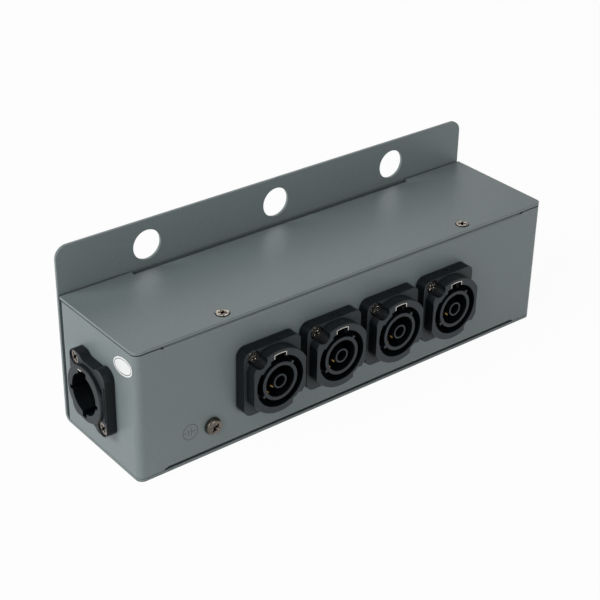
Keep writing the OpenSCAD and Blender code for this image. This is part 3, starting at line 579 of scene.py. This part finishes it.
# %% [markdown]
# The earth sign marks the screw that an earth wire goes under. It is the standard one: three bars
# of growing length, a stem from the longest, and a circle round them. On this box it is turned on
# its side, with the stem to the right. The longest bar and its stem are drawn as one shape, because
# two shapes that only touch would leave a wall between them.

# %% Earth sign
wall_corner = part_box("wall_panel")[0]
sign_place = Vector((wall_corner.x + 24.3 * mm, wall_corner.y, 14.5 * mm))
sign_radius = 3.6 * mm
sign_line = 0.24 * mm
half = sign_line / 2
sign_shapes = [oval_line(sign_radius, sign_radius, sign_line)]
shorter_bars = ((-2.3 * mm, 0.55 * mm), (-0.95 * mm, 1.25 * mm))
for bar_x, bar_half in shorter_bars:
    sides = (bar_x - half, bar_x + half)
    sign_shapes.append(filled([
        (sides[0], -bar_half), (sides[1], -bar_half), (sides[1], bar_half), (sides[0], bar_half),
    ]))
long_bar_x = 0.45 * mm
left_side = long_bar_x - half
right_side = long_bar_x + half
long_half = 1.95 * mm
stem_end = 2.7 * mm
sign_shapes.append(filled([
    (left_side, -long_half), (right_side, -long_half), (right_side, -half), (stem_end, -half),
    (stem_end, half), (right_side, half), (right_side, long_half), (left_side, long_half),
]))
printed("earth_sign", sign_shapes, sign_place, Vector((1, 0, 0)), upward, sign_ink)

# %% [markdown]
# A product is photographed on a white floor. More light could make a floor white, but it would
# bleach the box as well. This floor is pale paper that also glows, though only for the camera and
# for reflections. Its glow gives a white background and shows in the metal, but lights nothing, and
# the paper still takes a faint soft shadow under the box.

# %% Floor
def larger(tree, first, second):
    """The larger of two numbers."""
    node = tree.nodes.new("ShaderNodeMath")
    node.operation = "MAXIMUM"
    tree.links.new(first, node.inputs[0])
    tree.links.new(second, node.inputs[1])
    return node.outputs["Value"]


def scaled(tree, number, share):
    """A number times a fixed share."""
    node = tree.nodes.new("ShaderNodeMath")
    node.operation = "MULTIPLY"
    node.inputs[1].default_value = share
    tree.links.new(number, node.inputs[0])
    return node.outputs["Value"]


bpy.ops.mesh.primitive_plane_add(size=12, location=(0, 0, 0))
floor = bpy.context.active_object
floor.name = "floor"
floor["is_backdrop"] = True
floor_paint, tree, shader = new_finish("floor_paint", roughness=0.9, specular=0.0)
paper = noise(tree, 300, detail=2)
tree.links.new(ramp(tree, paper, [(0.3, 0.86), (0.7, 0.88)]), shader.inputs["Base Color"])
glow = tree.nodes.new("ShaderNodeEmission")
glow.inputs["Strength"].default_value = 1.0
rays = tree.nodes.new("ShaderNodeLightPath")
seen = larger(tree, rays.outputs["Is Camera Ray"], rays.outputs["Is Glossy Ray"])
seen = larger(tree, seen, rays.outputs["Is Transmission Ray"])
mix = tree.nodes.new("ShaderNodeMixShader")
tree.links.new(scaled(tree, seen, 0.96), mix.inputs["Fac"])
tree.links.new(shader.outputs["BSDF"], mix.inputs[1])
tree.links.new(glow.outputs["Emission"], mix.inputs[2])
tree.links.new(mix.outputs["Shader"], tree.nodes["Material Output"].inputs["Surface"])
floor.data.materials.append(floor_paint)
print("floor laid")

# %% [markdown]
# The light is soft, so every lamp is a large rectangle some way off. The two strongest ones stand
# on the left, because the box's left end is its brightest wall. Two weaker ones fill from the front
# and a faint one from overhead. Two more stand behind the box on the right, one of them large and
# high. They shine past the hanging flange and through its holes, which leaves a shade along the
# rear of the cover with a soft streak below each hole.
#
# The world lights nothing: the camera sees it white beyond the floor, and metal and paint reflect
# it faintly.

# %% Lamps and world
lamp_target = Vector((0, 0, 0.04))


def soft_lamp(name, place, width, height, power):
    """A rectangular lamp that faces the middle of the box."""
    data = bpy.data.lights.new(name, "AREA")
    data.shape = "RECTANGLE"
    data.size = width
    data.size_y = height
    data.energy = power
    lamp = bpy.data.objects.new(name, data)
    lamp.location = place
    lamp.rotation_euler = (lamp_target - Vector(place)).to_track_quat("-Z", "Y").to_euler()
    bpy.context.scene.collection.objects.link(lamp)


soft_lamp("left_lamp", (-1.6, -0.5, 1.1), 1.2, 1.2, 16.5)
soft_lamp("left_rear_lamp", (-2.0, 0.6, 1.6), 1.0, 1.0, 28.5)
soft_lamp("front_lamp", (0.2, -2.2, 0.9), 1.2, 1.2, 5.2)
soft_lamp("low_front_lamp", (0.4, -2.4, 0.3), 1.0, 0.5, 7.5)
soft_lamp("low_rear_lamp", (2.5, 2.8, 1.3), 1.0, 1.4, 2)
soft_lamp("high_rear_lamp", (1.6, 3.0, 2.4), 2.4, 2.2, 15)
soft_lamp("overhead_lamp", (-0.6, -0.3, 2.4), 1.2, 1.2, 4)
world = bpy.data.worlds.new("studio_world")
bpy.context.scene.world = world
world.use_nodes = True
background = world.node_tree.nodes["Background"]
background.inputs["Color"].default_value = (1, 1, 1, 1)
tree = world.node_tree
rays = tree.nodes.new("ShaderNodeLightPath")
seen = larger(tree, rays.outputs["Is Camera Ray"], rays.outputs["Is Transmission Ray"])
reflected = scaled(tree, rays.outputs["Is Glossy Ray"], 0.4)
tree.links.new(larger(tree, seen, reflected), background.inputs["Strength"])
view_settings = bpy.context.scene.view_settings
view_settings.view_transform = "Standard"

# %% [markdown]
# Last, the dressed model's box is measured and set against the CAD model's, measured before
# anything was added. They have to agree, because dressing must not change the size.

# %% Compare sizes and finish
dressed_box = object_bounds()
dressed_size = dressed_box[1] - dressed_box[0]
cad_size = cad_box[1] - cad_box[0]
growth = [round(v / mm, 3) for v in dressed_size - cad_size]
print("dressed model is larger than the CAD model by (mm):", growth)
